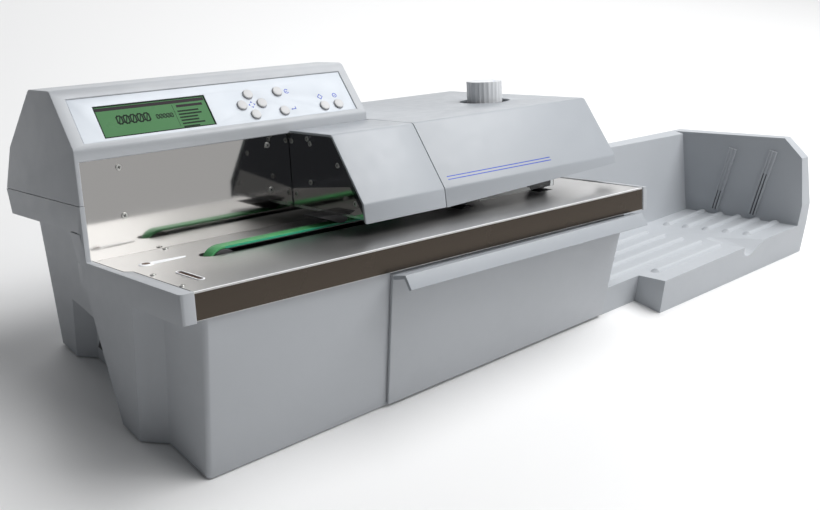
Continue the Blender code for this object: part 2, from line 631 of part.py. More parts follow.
def feed(mats, deck):
    low = BELT_V - BELT_WIDTH / 2
    high = BELT_V + BELT_WIDTH / 2
    inner = PULLEY_RADIUS + GAP
    belt = extrude("feed_belt", belt_loop(PULLEY_RADIUS + BELT_THICK), "Y", low, high, mats["belt"], deck)
    cut(belt, extrude("belt_inside", belt_loop(inner), "Y", low - 0.01, high + 0.01, None, deck))
    pulleys = {}
    for name, u in (("feed_idle_pulley", IDLE_PULLEY_U), ("feed_drive_pulley", DRIVE_PULLEY_U)):
        pulleys[name] = cylinder(name, (u, PULLEY_W), PULLEY_RADIUS, "Y", low - 0.001, high + 0.001,
                                 mats["black_plastic"], deck)
    add(pulleys["feed_drive_pulley"],
        cylinder("drive_shaft", (DRIVE_PULLEY_U, PULLEY_W), SPINDLE_RADIUS, "Y", high - 0.002, 0.2200,
                 None, deck, count=16))
    cylinder("feed_motor", (DRIVE_PULLEY_U, PULLEY_W - 0.010), 0.024, "Y", 0.2200 + GAP, 0.2800,
             mats["dark_steel"], deck)
    half = 0.0165
    nose_u = COVER_START_U - 0.0240
    gate = [(nose_u, 0.0190), (COVER_START_U + 0.0045, 0.0190), (COVER_START_U + 0.0045, 0.0460),
            (COVER_START_U + 0.0170, 0.0460), (COVER_START_U + 0.0170, 0.0125),
            (COVER_START_U + 0.0110, BELT_TOP_W + 0.0008), (COVER_START_U + 0.0045, BELT_TOP_W + 0.0008)]
    pivot = (COVER_START_U + 0.0110, BELT_V, 0.0400)
    arm = extrude("retard_gate", gate, "Y", BELT_V - half, BELT_V + half, mats["black_plastic"], deck,
                  origin=pivot)
    cut(arm, cylinder("gate_bore", (pivot[0], pivot[2]), HINGE_PIN_R + RUN, "Y", BELT_V - 0.05,
                      BELT_V + 0.05, None, deck, origin=(0, 0, 0), count=16))
    box("retard_pad", (COVER_START_U + 0.0170 + GAP, BELT_V - 0.0090, BELT_TOP_W + 0.0008),
        (COVER_START_U + 0.0230, BELT_V + 0.0090, 0.0230), mats["belt"], deck, origin=pivot)
    cylinder("gate_pin", (pivot[0], pivot[2]), HINGE_PIN_R, "Y", BELT_V - half - 0.004,
             DECK_DEPTH - GAP, mats["steel"], deck, count=16)


def transport(mats, deck):
    """Driven rollers under the deck, and sprung pinch rollers that slide on posts above it."""
    drive_w = ROLLER_PROUD - ROLLER_RADIUS
    pinch_w = ROLLER_PROUD + GAP + PINCH_RADIUS
    low = ROLLER_V - ROLLER_WIDTH / 2
    high = ROLLER_V + ROLLER_WIDTH / 2
    post_v = 0.1640
    frame_v = 0.1780
    beam = box("pinch_beam", (ROLLER_PLACES[0] - 0.035, post_v - 0.008, 0.0400),
               (ROLLER_PLACES[-1] + 0.030, DECK_DEPTH - GAP, 0.0430), mats["dark_steel"], deck)
    plate = box("transport_frame", (DRIVE_PULLEY_U - 0.012, frame_v, -0.0260),
                (ROLLER_PLACES[-1] + 0.020, frame_v + 0.003, -SHEET - GAP), mats["dark_steel"], deck)
    cut(plate, cylinder("drive_bore", (DRIVE_PULLEY_U, PULLEY_W), SPINDLE_RADIUS + RUN, "Y",
                        frame_v - 0.01, frame_v + 0.01, None, deck, origin=(0, 0, 0), count=16))
    for i, u in enumerate(ROLLER_PLACES):
        tag = "_%d" % (i + 1)
        drive = cylinder("drive_roller" + tag, (u, drive_w), ROLLER_RADIUS - 0.0003, "Y", low, high,
                         mats["black_rubber"], deck)
        add(drive, cylinder("roller_shaft" + tag, (u, drive_w), ROLLER_SHAFT_R, "Y", high - 0.002,
                            frame_v + 0.006, None, deck, origin=(0, 0, 0), count=16))
        cut(plate, cylinder("roller_bore" + tag, (u, drive_w), ROLLER_SHAFT_R + RUN, "Y",
                            frame_v - 0.01, frame_v + 0.01, None, deck, origin=(0, 0, 0), count=16))
        pinch = cylinder("pinch_roller" + tag, (u, pinch_w), PINCH_RADIUS, "Y", low + 0.004,
                         high - 0.004, mats["black_rubber"], deck)
        arm_v = high - 0.004 + GAP
        add(pinch, cylinder("pinch_axle" + tag, (u, pinch_w), HINGE_PIN_R, "Y", high - 0.006,
                            arm_v + 0.007, None, deck, origin=(0, 0, 0), count=16))
        arm = box("pinch_arm" + tag, (u - 0.007, arm_v, pinch_w - 0.006),
                  (u + 0.007, arm_v + 0.004, PINCH_ARM_TOP), mats["dark_steel"], deck)
        add(arm, box("arm_foot" + tag, (u - 0.007, arm_v + 0.002, PINCH_ARM_TOP - 0.004),
                     (u + 0.007, post_v + 0.008, PINCH_ARM_TOP), None, deck))
        cut(arm,
            cylinder("axle_bore" + tag, (u, pinch_w), HINGE_PIN_R + RUN, "Y", 0, 0.150, None, deck,
                     origin=(0, 0, 0), count=16),
            cylinder("post_bore" + tag, (u, post_v), HINGE_PIN_R + RUN, "Z", 0, 0.10, None, deck,
                     origin=(0, 0, 0), count=16))
        add(beam, cylinder("guide_post" + tag, (u, post_v), HINGE_PIN_R, "Z", PINCH_ARM_TOP - 0.010,
                           0.0410, None, deck, origin=(0, 0, 0), count=16))


def cutter(mats, deck):
    centre = (KNOB_U, KNOB_V)
    teeth = 16
    outline = []
    for i in range(teeth):
        for radius, part in ((CUTTER_RADIUS, 0.0), (CUTTER_RADIUS, 0.35), (CUTTER_RADIUS - 0.002, 0.5),
                             (CUTTER_RADIUS - 0.002, 0.85)):
            turn = 2 * math.pi * (i + part) / teeth
            outline.append((centre[0] + radius * math.cos(turn), centre[1] + radius * math.sin(turn)))
    wheel = extrude("cutter_wheel", outline, "Z", 0.0030, 0.0090, mats["steel"], deck,
                    origin=(*centre, 0.0060))
    add(wheel, cylinder("cutter_spindle", centre, SPINDLE_RADIUS, "Z", -0.0400, 0.0050, None, deck))
    cylinder("cutter_motor", centre, 0.0150, "Z", -0.0900, -0.0400 - GAP, mats["dark_steel"], deck)
    rear = KNOB_V + CUTTER_RADIUS + 0.004
    frame = box("cutter_frame", (KNOB_U - 0.022, rear, -0.0300), (KNOB_U + 0.010, rear + 0.010, 0.0640),
                mats["dark_steel"], deck)
    add(frame,
        box("frame_lower", (KNOB_U - 0.022, KNOB_V - 0.008, -0.0200), (KNOB_U + 0.010, rear + 0.005, -0.0150),
            None, deck),
        box("frame_upper", (KNOB_U - 0.022, KNOB_V - 0.008, 0.0560), (KNOB_U + 0.010, rear + 0.005, 0.0640),
            None, deck))
    bore = cylinder("frame_bore", centre, SPINDLE_RADIUS + RUN, "Z", -0.1, 0.1, None, deck,
                    origin=(0, 0, 0))
    cut(frame, bore)
    shaft_low = 0.0180
    cylinder("depth_shaft", centre, SPINDLE_RADIUS, "Z", shaft_low, COVER_TOP_W - 0.002 - GAP,
             mats["steel"], deck)
    flutes = 24
    knob = []
    for i in range(flutes * 2):
        radius = KNOB_RADIUS if i % 2 == 0 else KNOB_RADIUS - 0.0010
        turn = math.pi * i / flutes
        knob.append((centre[0] + radius * math.cos(turn), centre[1] + radius * math.sin(turn)))
    extrude("depth_knob", knob, "Z", COVER_TOP_W - 0.002, COVER_TOP_W + KNOB_HEIGHT, mats["button"],
            deck, origin=(*centre, COVER_TOP_W))


# ---- chip drawer --------------------------------------------------------------------------------
def drawer(mats, machine):
    front_y = BASE_FRONT_Y - GAP
    lean = math.tan(BASE_RIGHT_LEAN)
    drop = math.tan(SIDE_TILT)
    top_left_z = CORNER_HEIGHT - APRON - 0.0030 - drop * DOOR_LEFT_X
    right_x = DOOR_RIGHT_X + lean * 0.14
    top_right_z = CORNER_HEIGHT - APRON - 0.0030 - drop * right_x
    outline = [(DOOR_LEFT_X, DOOR_BOTTOM_Z), (DOOR_RIGHT_X, DOOR_BOTTOM_Z), (right_x, top_right_z),
               (DOOR_LEFT_X - 0.004, top_left_z)]
    extrude("drawer_front", outline, "Y", front_y - DOOR_THICK, front_y, mats["housing"], machine)
    slide = Matrix.Translation((0, front_y - DOOR_THICK - GAP, top_left_z + drop * DOOR_LEFT_X))
    bar = empty("handle_frame", machine, slide @ Matrix.Rotation(SIDE_TILT, 4, "Y"))
    lip = [(0, -0.0005), (-0.018, 0.0070), (-HANDLE_REACH, -0.0050), (-HANDLE_REACH + 0.0035, -0.0075),
           (-0.0170, 0.0020), (0, -0.0060)]
    extrude("drawer_handle", lip, "X", DOOR_LEFT_X - 0.003, right_x + 0.012, mats["cover"], bar)
    left = DOOR_LEFT_X + 0.0120
    right = DOOR_RIGHT_X - 0.0250
    rail_top = CHASSIS_Z + CHASSIS_THICK + GAP + 0.0060
    rear = front_y + BIN_DEPTH
    tub = box("chip_bin", (left, front_y + GAP, 0.0145), (right, rear, BIN_TOP_Z), mats["black_plastic"],
              machine)
    cut(tub, box("bin_inside", (left + BIN_WALL, front_y + GAP + BIN_WALL, 0.0145 + BIN_WALL),
                 (right - BIN_WALL, rear - BIN_WALL, BIN_TOP_Z + 0.01), None, machine))
    for side, x in (("left", left + 0.010), ("right", right - 0.022)):
        box("drawer_runner_" + side, (x, 0.010, CHASSIS_Z + CHASSIS_THICK + GAP),
            (x + 0.012, 0.1950, rail_top + 0.0020), mats["dark_steel"], machine)


# ---- output tray --------------------------------------------------------------------------------
def floor_z(y):
    return TRAY_FLOOR_FRONT_Z - math.tan(TRAY_FLOOR_TILT) * (y - TRAY_FRONT_Y)


def tray_ribs(tray, machine):
    """Rounded ridges along the floor in two groups, with a smooth finger channel between them."""
    crown = [(-1.25, -0.55), (-0.62, 0.62), (-0.28, 0.97), (0.28, 0.97), (0.62, 0.62), (1.25, -0.55)]
    for i in range(5):
        middle = RIB_START_Y + RIB_PITCH * i
        outline = [(middle + a * RIB_WIDTH / 2, floor_z(middle + a * RIB_WIDTH / 2) + b * RIB_HEIGHT)
                   for a, b in crown]
        first_x = 0.690 if i == 0 else 0.600
        for tag, low_x, high_x in (("left", first_x, CHANNEL_LEFT_X - 0.0015), ("right", 0.9040 - 0.0045 * i, 0.9985)):
            sunk = -1.55 * RIB_HEIGHT
            stations = [(low_x, sunk), (low_x + RIB_FADE, 0.0), (high_x - RIB_FADE, 0.0), (high_x, sunk)]
            sections = [[(x, y, z + drop) for y, z in outline] for x, drop in stations]
            add(tray, loft("rib_%s_%d" % (tag, i + 1), sections, None, machine))


def output_tray(mats, machine, deck):
    lean = math.tan(BASE_RIGHT_LEAN)
    drop = math.tan(SIDE_TILT)
    left = BASE_RIGHT_X + 0.0015
    back_slant = 0.30
    rear_top = TRAY_END_TOP_Z
    bottom = 0.0
    floor_side = [(TRAY_FRONT_Y, bottom), (TRAY_REAR_Y, bottom), (TRAY_REAR_Y, floor_z(TRAY_REAR_Y) + 0.02),
                  (TRAY_FLOOR_REAR_Y, floor_z(TRAY_FLOOR_REAR_Y)), (TRAY_FRONT_Y, TRAY_FLOOR_FRONT_Z)]
    tray = extrude("output_tray", floor_side, "X", left - 0.02, TRAY_RIGHT_X, mats["tray"], machine)
    back = [(left - 0.02, bottom), (TRAY_RIGHT_X, bottom), (TRAY_RIGHT_X, rear_top),
            (left - 0.02, rear_top + drop * (TRAY_RIGHT_X - left))]
    inner_foot = TRAY_FLOOR_REAR_Y - 0.001
    back_wall = extrude("tray_back", back, "Y", inner_foot, TRAY_REAR_Y, None, machine)
    room = [(-0.2, floor_z(TRAY_FLOOR_REAR_Y)), (TRAY_FLOOR_REAR_Y, floor_z(TRAY_FLOOR_REAR_Y)),
            (TRAY_FLOOR_REAR_Y + back_slant * 0.25, floor_z(TRAY_FLOOR_REAR_Y) + 0.25), (-0.2, 0.30)]
    cut(back_wall, extrude("tray_back_room", room, "X", 0.5, 1.1, None, machine))
    slope = math.tan(BACK_TILT)
    end_side = [(TRAY_FRONT_Y, bottom), (TRAY_REAR_Y, bottom), (TRAY_REAR_Y, rear_top),
                (0.0080, rear_top + slope * (TRAY_REAR_Y - 0.0080)), (-0.0265, 0.1460),
                (TRAY_FRONT_Y + 0.0015, 0.0790), (TRAY_FRONT_Y, TRAY_FLOOR_FRONT_Z)]
    end_wall = extrude("tray_end", end_side, "X", TRAY_RIGHT_X - TRAY_END_WALL, TRAY_RIGHT_X, None, machine)
    far = 0.60
    room_x = TRAY_RIGHT_X - TRAY_END_WALL
    lean_outline = [(room_x - 0.01, END_LEAN_Z), (room_x, END_LEAN_Z),
                    (room_x + END_LEAN * (0.19 - END_LEAN_Z), 0.19), (room_x - 0.01, 0.19)]
    cut(end_wall, extrude("tray_end_lean", lean_outline, "Y", -far, far, None, machine))
    add(tray, back_wall, end_wall)
    step = box("tray_step", (-far, TRAY_FRONT_Y - 0.05, -0.05),
               (TRAY_BLOCK_X, BASE_FRONT_Y, 0.30), None, machine)
    body_side = extrude("tray_left_cut", [(-far, -0.05), (left - 0.05 * lean, -0.05),
                                          (left + 0.30 * lean, 0.30), (-far, 0.30)], "Y", -far, far,
                        None, machine)
    hollow = [(TRAY_FRONT_Y + TRAY_WALL, -0.05), (0.1000, -0.05), (0.1000, floor_z(0.1000) - TRAY_WALL),
              (TRAY_FRONT_Y + TRAY_WALL, TRAY_FLOOR_FRONT_Z - TRAY_WALL - 0.001)]
    under = [extrude("tray_under_" + tag, hollow, "X", low_x, high_x, None, machine)
             for tag, low_x, high_x in (("left", TRAY_BLOCK_X + TRAY_WALL, CHANNEL_LEFT_X - 0.006),
                                        ("right", 0.9160, TRAY_RIGHT_X - TRAY_WALL))]
    notch = [(CHANNEL_LEFT_X, 0.06), (0.8560, 0.0400), (0.8585, 0.0355), (0.8625, 0.0330), (0.8680, 0.0320),
             (0.8735, 0.0328), (0.8800, 0.0355), (0.9030, 0.0480), (0.9100, 0.06)]
    scoop = extrude("tray_notch", notch, "Y", TRAY_FRONT_Y - 0.01, TRAY_FRONT_Y + CHANNEL_LENGTH, None,
                    machine)
    deck_room = box("tray_deck_room", (0.55, -0.10, -APRON - 0.0020),
                    (DECK_LENGTH + 0.0085, DECK_DEPTH + 0.0120, 0.20), None, deck)
    tray_ribs(tray, machine)
    cut(tray, step, body_side, *under, scoop, deck_room)
    tray_rails(mats, machine)


def rail_section(middle, half, front, back, z):
    """Corners of a rail's level section against the leaning inner face of the end wall."""
    face = TRAY_RIGHT_X - TRAY_END_WALL - GAP + END_LEAN * max(0.0, z - END_LEAN_Z)
    return [(face - front, middle - half, z), (face - back, middle - half, z),
            (face - back, middle + half, z), (face - front, middle + half, z)]


def tray_rails(mats, machine):
    """Two upright grooved guide rails on the end wall, leaning forwards a little."""
    for tag, low_y, low_z, high_y, high_z in (("front", 0.0302, 0.0385, 0.0200, 0.1430),
                                              ("rear", 0.0950, 0.0240, 0.0870, 0.1260)):
        levels = sorted({low_z, max(low_z, END_LEAN_Z), high_z})
        middles = [low_y + (high_y - low_y) * (z - low_z) / (high_z - low_z) for z in levels]
        rail = loft("tray_rail_" + tag, [rail_section(y, RAIL_WIDTH / 2, 0.0030, 0.0, z)
                                         for y, z in zip(middles, levels)], mats["tray"], machine)
        for side, offset in (("a", -0.0024), ("b", 0.0024)):
            deep = [rail_section(y + offset, 0.0012, 0.0100, 0.0014, z) for y, z in zip(middles, levels)]
            deep[0] = [(x, y, z - 0.01) for x, y, z in deep[0]]
            deep[-1] = [(x, y, z + 0.01) for x, y, z in deep[-1]]
            cut(rail, loft("groove_%s_%s" % (side, tag), deep, None, machine))


# ---- assembly -----------------------------------------------------------------------------------
def build():
    clear_scene()
    mats = make_materials()
    left_x = deck_point(-FLANGE, 0, -BAND).x
    rear_y = deck_point(-FLANGE, REAR_V, SEAM_W - GAP).y
    middle = ((TRAY_RIGHT_X + left_x) / 2, (rear_y + TRAY_FRONT_Y) / 2)
    machine = empty("machine_frame", None, Matrix.Translation((-middle[0], -middle[1], 0)))
    deck = empty("deck_frame", machine, DECK_MATRIX)
    slope = empty("slope_frame", deck, slope_matrix())
    hinge = empty("cover_hinge_axis", deck, Matrix.Translation((COVER_SEAM_U, HINGE_V, HINGE_W)))
    base_housing(mats, machine, deck)
    chassis(mats, machine)
    deck_plate(mats, deck)
    head(mats, deck, slope)
    covers(mats, deck, hinge)
    cover_hinges(mats, deck, hinge)
    feed(mats, deck)
    transport(mats, deck)
    cutter(mats, deck)
    drawer(mats, machine)
    output_tray(mats, machine, deck)


build()
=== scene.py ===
"""Looks of the desktop envelope opener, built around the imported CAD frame.

Pieces are placed in three frames: the level machine frame (x, y, z), the tilted deck frame
(u, v, w), and the control head's sloping face (u, s, n). Metres throughout.
"""
import math
import random

import bpy
import bmesh
from mathutils import Matrix, Vector


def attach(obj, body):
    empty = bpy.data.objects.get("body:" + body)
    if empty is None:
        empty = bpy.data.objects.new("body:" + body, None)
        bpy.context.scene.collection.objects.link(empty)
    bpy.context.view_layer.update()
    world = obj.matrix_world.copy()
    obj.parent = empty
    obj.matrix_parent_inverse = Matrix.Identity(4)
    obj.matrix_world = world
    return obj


# ---- sizes shared with the CAD ---------------------------------------------------------------
FRONT_OF_BELT = 0.1190
BACK_TILT = math.radians(13.6)
SIDE_TILT = math.radians(3.6)
CORNER_HEIGHT = 0.2135
CENTRE = Vector((-0.49802, -0.17460, 0.0))
DECK_DEPTH = 0.1972
HEAD_FRONT_V = 0.1931
HEAD_CREASE_W = 0.1174
SLOPE_ANGLE = math.atan2(0.1761 - 0.1174, 0.2379 - 0.1931)
COVER_CREASE = (0.0596, 0.0353)
COVER_CREST = (0.1109, 0.1080)
COVER_ANGLE = math.atan2(COVER_CREST[1] - COVER_CREASE[1], COVER_CREST[0] - COVER_CREASE[0])
PANEL_N = -0.0010
SCREEN_N = -0.0018
KNOB = (0.5800, 0.2149)
KNOB_TOP_W = 0.1350
LCD = ((0.0238, 0.0103), (0.1562, 0.0497))       # window in the head's slope: two corners
LCD_FRAME = 0.0011
DISPLAY_GLOSS = 0.08                             # the display's window is matt
STOP_PIN = (0.0244, 0.1392)
SENSOR_SLOT = ((0.0272, 0.0362), (0.0343, 0.0848))
APRON_LEFT, APRON_RIGHT = 0.0006, 0.6444
FENCE_FOOT_W = 0.0182
RAIL_FACE_X = 0.9882                             # foot of the tray end wall's inner face
END_LEAN = 0.0812                                # how far that face leans out per metre of height
END_LEAN_Z = 0.0300
FLANGE_TOP_W = 0.0012
SHEET_SCREW = 0.0031                             # head radius of the screws in the deck and fence
SKIN = 0.00002                                   # lift that keeps a laid-on piece off its sheet

MACHINE = Matrix.Translation(CENTRE)
TILT = Matrix.Rotation(-BACK_TILT, 4, "X") @ Matrix.Rotation(SIDE_TILT, 4, "Y")
DECK = MACHINE @ Matrix.Translation((0, 0, CORNER_HEIGHT)) @ TILT
SLOPE = (DECK @ Matrix.Translation((0, HEAD_FRONT_V, HEAD_CREASE_W))
         @ Matrix.Rotation(SLOPE_ANGLE, 4, "X"))
COVER_FACE = (DECK @ Matrix.Translation((0, COVER_CREASE[0], COVER_CREASE[1]))
              @ Matrix.Rotation(COVER_ANGLE, 4, "X"))
WALL_FACE = (DECK @ Matrix.Translation((0, DECK_DEPTH + 0.0003, 0))
             @ Matrix.Rotation(math.pi / 2, 4, "X"))
FENCE_FACE = (DECK @ Matrix.Translation((0.2475, 0, 0)) @ Matrix.Rotation(-math.pi / 2, 4, "Z")
              @ Matrix.Rotation(math.pi / 2, 4, "X"))


# ---- materials --------------------------------------------------------------------------------
def base_material(name, colour, roughness, metallic=0.0):
    made = bpy.data.materials.new(name)
    made.use_nodes = True
    shader = made.node_tree.nodes["Principled BSDF"]
    shader.inputs["Base Color"].default_value = (*colour, 1.0)
    shader.inputs["Roughness"].default_value = roughness
    shader.inputs["Metallic"].default_value = metallic
    return made, shader


def noise(made, scale, detail=3.0, stretch=(1, 1, 1)):
    tree = made.node_tree
    place = tree.nodes.new("ShaderNodeTexCoord")
    mapping = tree.nodes.new("ShaderNodeMapping")
    mapping.inputs["Scale"].default_value = stretch
    texture = tree.nodes.new("ShaderNodeTexNoise")
    texture.inputs["Scale"].default_value = scale
    texture.inputs["Detail"].default_value = detail
    tree.links.new(place.outputs["Object"], mapping.inputs["Vector"])
    tree.links.new(mapping.outputs["Vector"], texture.inputs["Vector"])
    return texture.outputs["Fac"]


def spread(made, source, low, high, socket):
    """Sends a noise to a shader socket, mapped to a range."""
    tree = made.node_tree
    ramp = tree.nodes.new("ShaderNodeMapRange")
    ramp.inputs["From Min"].default_value = 0.3
    ramp.inputs["From Max"].default_value = 0.7
    ramp.inputs["To Min"].default_value = low
    ramp.inputs["To Max"].default_value = high
    tree.links.new(source, ramp.inputs["Value"])
    tree.links.new(ramp.outputs["Result"], socket)


def tint(made, source, first, second, shader):
    tree = made.node_tree
    ramp = tree.nodes.new("ShaderNodeValToRGB")
    ramp.color_ramp.elements[0].position = 0.3
    ramp.color_ramp.elements[0].color = (*first, 1.0)
    ramp.color_ramp.elements[1].position = 0.7
    ramp.color_ramp.elements[1].color = (*second, 1.0)
    tree.links.new(source, ramp.inputs["Fac"])
    tree.links.new(ramp.outputs["Color"], shader.inputs["Base Color"])


def bump(made, source, shader, strength, distance):
    tree = made.node_tree
    node = tree.nodes.new("ShaderNodeBump")
    node.inputs["Strength"].default_value = strength
    node.inputs["Distance"].default_value = distance
    tree.links.new(source, node.inputs["Height"])
    tree.links.new(node.outputs["Normal"], shader.inputs["Normal"])


def plastic(name, colour, roughness, grain=0.25):
    """Moulded plastic with a fine spark-eroded grain and faint, broad unevenness."""
    made, shader = base_material(name, colour, roughness)
    darker = tuple(c * 0.965 for c in colour)
    tint(made, noise(made, 9.0), darker, colour, shader)
    spread(made, noise(made, 60.0), roughness - 0.05, roughness + 0.07, shader.inputs["Roughness"])
    bump(made, noise(made, 2600.0, 2.0), shader, grain, 0.00012)
    return made


def brushed(name, colour, roughness, stretch=(6, 420, 420)):
    """Stainless sheet with fine lines along the machine and slightly uneven polish."""
    made, shader = base_material(name, colour, roughness, 1.0)
    darker = tuple(c * 0.94 for c in colour)
    lines = noise(made, 4.0, 2.0, stretch)
    tint(made, lines, darker, colour, shader)
    spread(made, noise(made, 11.0, 4.0), roughness - 0.01, roughness + 0.02, shader.inputs["Roughness"])
    bump(made, lines, shader, 0.05, 0.00004)
    return made


def polished(name, colour, roughness):
    made, shader = base_material(name, colour, roughness, 1.0)
    spread(made, noise(made, 14.0, 5.0), roughness - 0.02, roughness + 0.05, shader.inputs["Roughness"])
    return made


def rubber(name, colour, roughness=0.65):
    made, shader = base_material(name, colour, roughness)
    tint(made, noise(made, 120.0), tuple(c * 0.8 for c in colour), colour, shader)
    bump(made, noise(made, 900.0), shader, 0.3, 0.0002)
    return made


def ribbed_belt(name, colour):
    made, shader = base_material(name, colour, 0.5)
    tree = made.node_tree
    place = tree.nodes.new("ShaderNodeTexCoord")
    wave = tree.nodes.new("ShaderNodeTexWave")
    wave.inputs["Scale"].default_value = 90.0
    tree.links.new(place.outputs["Object"], wave.inputs["Vector"])
    bump(made, wave.outputs["Fac"], shader, 0.25, 0.0003)
    tint(made, noise(made, 60.0), tuple(c * 0.8 for c in colour), colour, shader)
    return made


def clear(name, colour):
    made, shader = base_material(name, colour, 0.04)
    shader.inputs["Transmission Weight"].default_value = 1.0
    shader.inputs["IOR"].default_value = 1.45
    return made


def materials():
    made = {
        "housing": plastic("housing", (0.405, 0.422, 0.445), 0.46),
        "cover": plastic("cover", (0.345, 0.366, 0.393), 0.38, 0.15),
        "tray": plastic("tray", (0.435, 0.456, 0.482), 0.48),
        "panel": plastic("panel", (0.510, 0.550, 0.600), 0.36, 0.03),
        "knob": plastic("knob", (0.640, 0.655, 0.675), 0.38, 0.1),
        "button": plastic("button", (0.500, 0.500, 0.505), 0.42, 0.1),
        "screen": plastic("screen", (0.054, 0.172, 0.062), 0.30, 0.0),
        "board": plastic("board", (0.03, 0.18, 0.07), 0.5, 0.1),
        "steel": brushed("steel", (0.62, 0.615, 0.61), 0.34),
        # painted shade: the deck's own steel, darkened for its folded front face
        "apron_shade_steel": brushed("apron_shade_steel", (0.085, 0.070, 0.057), 0.26),
        "mirror_steel": polished("mirror_steel", (0.60, 0.585, 0.565), 0.045),
        "fence_steel": polished("fence_steel", (0.13, 0.135, 0.15), 0.09),
        "dark_steel": brushed("dark_steel", (0.20, 0.20, 0.21), 0.38),
        "screw_steel": polished("screw_steel", (0.55, 0.55, 0.53), 0.33),
        "belt": ribbed_belt("belt", (0.060, 0.330, 0.110)),
        "belt_edge": rubber("belt_edge", (0.000, 0.330, 0.170), 0.4),
        "black_rubber": rubber("black_rubber", (0.016, 0.016, 0.017)),
        "black_plastic": plastic("black_plastic", (0.022, 0.022, 0.024), 0.40, 0.2),
        "ink": base_material("ink", (0.003, 0.045, 0.420), 0.35)[0],
        "lcd_dark": base_material("lcd_dark", (0.005, 0.016, 0.008), 0.4)[0],
        "lcd_head": base_material("lcd_head", (0.016, 0.010, 0.014), 0.4)[0],
        # painted highlight: a bright copy of the fence's steel for its bent lower edge
        "lip_highlight_steel": polished("lip_highlight_steel", (0.70, 0.70, 0.70), 0.24),
        # painted shade: dark grey for the bottoms of the tray rails' grooves
        "groove_shade": base_material("groove_shade", (0.085, 0.085, 0.092), 0.6)[0],
        # painted highlight: near-white paint for the bright spots on the slot rim, stop pin emboss,
        # teardrop and deck front edge
        "sheen": base_material("sheen", (0.93, 0.94, 0.96), 0.50)[0],
        # dark brown: painted shade for the stop pin's hole, and the slot's brown floor darkened with
        # painted shade
        "brown_shade": base_material("brown_shade", (0.110, 0.062, 0.040), 0.6)[0],
        "shadow": base_material("shadow", (0.012, 0.012, 0.013), 0.8)[0],
        "clear": clear("clear", (0.93, 0.96, 0.97)),
    }
    for name in ("screen", "lcd_dark", "lcd_head"):
        shader = made[name].node_tree.nodes["Principled BSDF"]
        shader.inputs["Specular IOR Level"].default_value = DISPLAY_GLOSS
    return made


# ---- pieces -----------------------------------------------------------------------------------
def finish_mesh(name, shape, mat, body, smooth=None):
    """Makes a piece of a shape and ties it to its body and material slot."""
    mesh = bpy.data.meshes.new(name)
    bmesh.ops.recalc_face_normals(shape, faces=shape.faces)
    shape.to_mesh(mesh)
    shape.free()
    mesh.materials.append(MATS[mat])
    piece = bpy.data.objects.new(name, mesh)
    bpy.context.collection.objects.link(piece)
    if smooth is not None:
        mesh.shade_smooth()
        mesh.set_sharp_from_angle(angle=math.radians(smooth))
    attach(piece, body)
    return piece


def prism(shape, outline, low, high, frame):
    """A flat outline in a frame's first two axes, raised along its third."""
    rings = [[shape.verts.new(frame @ Vector((a, b, n))) for a, b in outline] for n in (low, high)]
    shape.faces.new(rings[0])
    shape.faces.new(rings[1])
    for i in range(len(outline)):
        j = (i + 1) % len(outline)
        shape.faces.new((rings[0][i], rings[0][j], rings[1][j], rings[1][i]))


def rect(low, high):
    return [(low[0], low[1]), (high[0], low[1]), (high[0], high[1]), (low[0], high[1])]


def disc(centre, radius, count=20):
    return [(centre[0] + radius * math.cos(2 * math.pi * i / count),
             centre[1] + radius * math.sin(2 * math.pi * i / count)) for i in range(count)]


def lathe(shape, profile, frame, count=20):
    """A turned shape about the frame's third axis; the profile is (radius, height) pairs."""
    rings = []
    for radius, height in profile:
        if radius == 0:
            rings.append([shape.verts.new(frame @ Vector((0, 0, height)))])
            continue
        rings.append([shape.verts.new(frame @ Vector((x, y, height)))
                      for x, y in disc((0, 0), radius, count)])
    for low, high in zip(rings, rings[1:]):
        for i in range(count):
            j = (i + 1) % count
            if len(high) == 1:
                shape.faces.new((low[i], low[j], high[0]))
            else:
                shape.faces.new((low[i], low[j], high[j], high[i]))
    shape.faces.new(rings[0][::-1])
    if len(rings[-1]) > 1:
        shape.faces.new(rings[-1])


def ring(shape, centre, outer, inner, low, high, frame, start=0.0, sweep=2 * math.pi, count=20):
    """A flat ring, or an arc of one."""
    closed = sweep > 6.28
    steps = count if closed else count + 1
    loops = []
    for i in range(steps):
        turn = start + sweep * i / count
        loops.append([shape.verts.new(frame @ Vector((centre[0] + r * math.cos(turn),
                                                      centre[1] + r * math.sin(turn), n)))
                      for r, n in ((outer, low), (outer, high), (inner, high), (inner, low))])
    for i in range(count):
        a, b = loops[i], loops[(i + 1) % steps]
        for k in range(4):
            m = (k + 1) % 4
            shape.faces.new((a[k], a[m], b[m], b[k]))
    if not closed:
        shape.faces.new(loops[0])
        shape.faces.new(loops[-1])


def screw(name, frame, place, body="base", radius=0.0034):
    """A low domed screw head, its cross recess drawn as two bars of painted shadow."""
    here = frame @ Matrix.Translation((*place, 0)) @ Matrix.Rotation(random.uniform(0, 1.5), 4, "Z")
    shape = bmesh.new()
    lathe(shape, [(radius, 0.00002), (radius, 0.0006), (radius * 0.90, 0.0010), (radius * 0.5, 0.0011),
                  (0, 0.00112)], here)
    finish_mesh(name, shape, "screw_steel", body, 40)
    shape = bmesh.new()
    long, thin = radius * 0.52, radius * 0.13
    prism(shape, rect((-long, -thin), (long, thin)), 0.0009, 0.00116, here)
    # painted shadow: the cross recess is two dark bars laid on the head
    finish_mesh(name + "_slot_a", shape, "shadow", body)
    shape = bmesh.new()
    prism(shape, rect((-thin, -long), (thin, long)), 0.0009, 0.00117, here)
    finish_mesh(name + "_slot_b", shape, "shadow", body)


